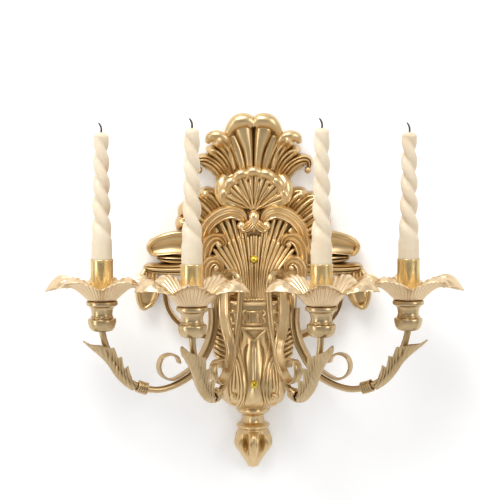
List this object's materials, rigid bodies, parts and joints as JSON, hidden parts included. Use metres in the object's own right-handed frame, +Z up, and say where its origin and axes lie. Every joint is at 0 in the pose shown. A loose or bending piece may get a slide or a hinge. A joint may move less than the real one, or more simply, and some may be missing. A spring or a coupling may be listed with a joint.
{
  "type": "wall sconce candle holder",
  "caption": "Wall-hung candle sconce: cast acanthus backplate with curved arms, leaf trim, turned cups, petal drip pans, brass sockets and twisted taper candles.",
  "frame": {"origin": "on the wall, at the middle of the strap's wall face, level with the heart of the backplate", "axes": "+X to the viewer's right, +Y into the wall, +Z up"},
  "size_m": [0.438, 0.2, 0.3845],
  "materials": {
    "gold": "satin champagne-gold lacquer over cast and bent metal",
    "brass": "smooth satin brass",
    "cap_nut_brass": "polished yellow brass",
    "steel": "zinc-plated steel",
    "wax": "smooth ivory wax",
    "charred_wick": "charred cotton"
  },
  "bodies": {
    "root": {"backplate": "gold", "wall_strap": "steel", "upper_stud": "steel", "upper_cap_nut": "cap_nut_brass", "lower_stud": "steel", "lower_cap_nut": "cap_nut_brass", "outer_left_arm": "gold", "outer_left_arm_nut": "steel", "outer_left_scroll": "gold", "outer_left_binding": "gold", "outer_left_leaf": "gold", "outer_left_cup": "gold", "outer_left_drip_pan": "gold", "outer_left_socket": "brass", "outer_left_socket_screw": "steel", "outer_right_arm": "gold", "outer_right_arm_nut": "steel", "outer_right_scroll": "gold", "outer_right_binding": "gold", "outer_right_leaf": "gold", "outer_right_cup": "gold", "outer_right_drip_pan": "gold", "outer_right_socket": "brass", "outer_right_socket_screw": "steel", "inner_left_arm": "gold", "inner_left_arm_nut": "steel", "inner_left_scroll": "gold", "inner_left_binding": "gold", "inner_left_leaf": "gold", "inner_left_cup": "gold", "inner_left_drip_pan": "gold", "inner_left_socket": "brass", "inner_left_socket_screw": "steel", "inner_right_arm": "gold", "inner_right_arm_nut": "steel", "inner_right_scroll": "gold", "inner_right_binding": "gold", "inner_right_leaf": "gold", "inner_right_cup": "gold", "inner_right_drip_pan": "gold", "inner_right_socket": "brass", "inner_right_socket_screw": "steel"},
    "outer_left_taper": {"outer_left_candle": "wax", "outer_left_wick": "charred_wick"},
    "outer_right_taper": {"outer_right_candle": "wax", "outer_right_wick": "charred_wick"},
    "inner_left_taper": {"inner_left_candle": "wax", "inner_left_wick": "charred_wick"},
    "inner_right_taper": {"inner_right_candle": "wax", "inner_right_wick": "charred_wick"}
  },
  "joints": [
    {"name": "outer_left_candle_lift", "type": "slide", "parent": "root", "child": "outer_left_taper", "axis": [0, 0, 1], "range_m": [0, 0.045]},
    {"name": "outer_right_candle_lift", "type": "slide", "parent": "root", "child": "outer_right_taper", "axis": [0, 0, 1], "range_m": [0, 0.045]},
    {"name": "inner_left_candle_lift", "type": "slide", "parent": "root", "child": "inner_left_taper", "axis": [0, 0, 1], "range_m": [0, 0.045]},
    {"name": "inner_right_candle_lift", "type": "slide", "parent": "root", "child": "inner_right_taper", "axis": [0, 0, 1], "range_m": [0, 0.045]}
  ]
}
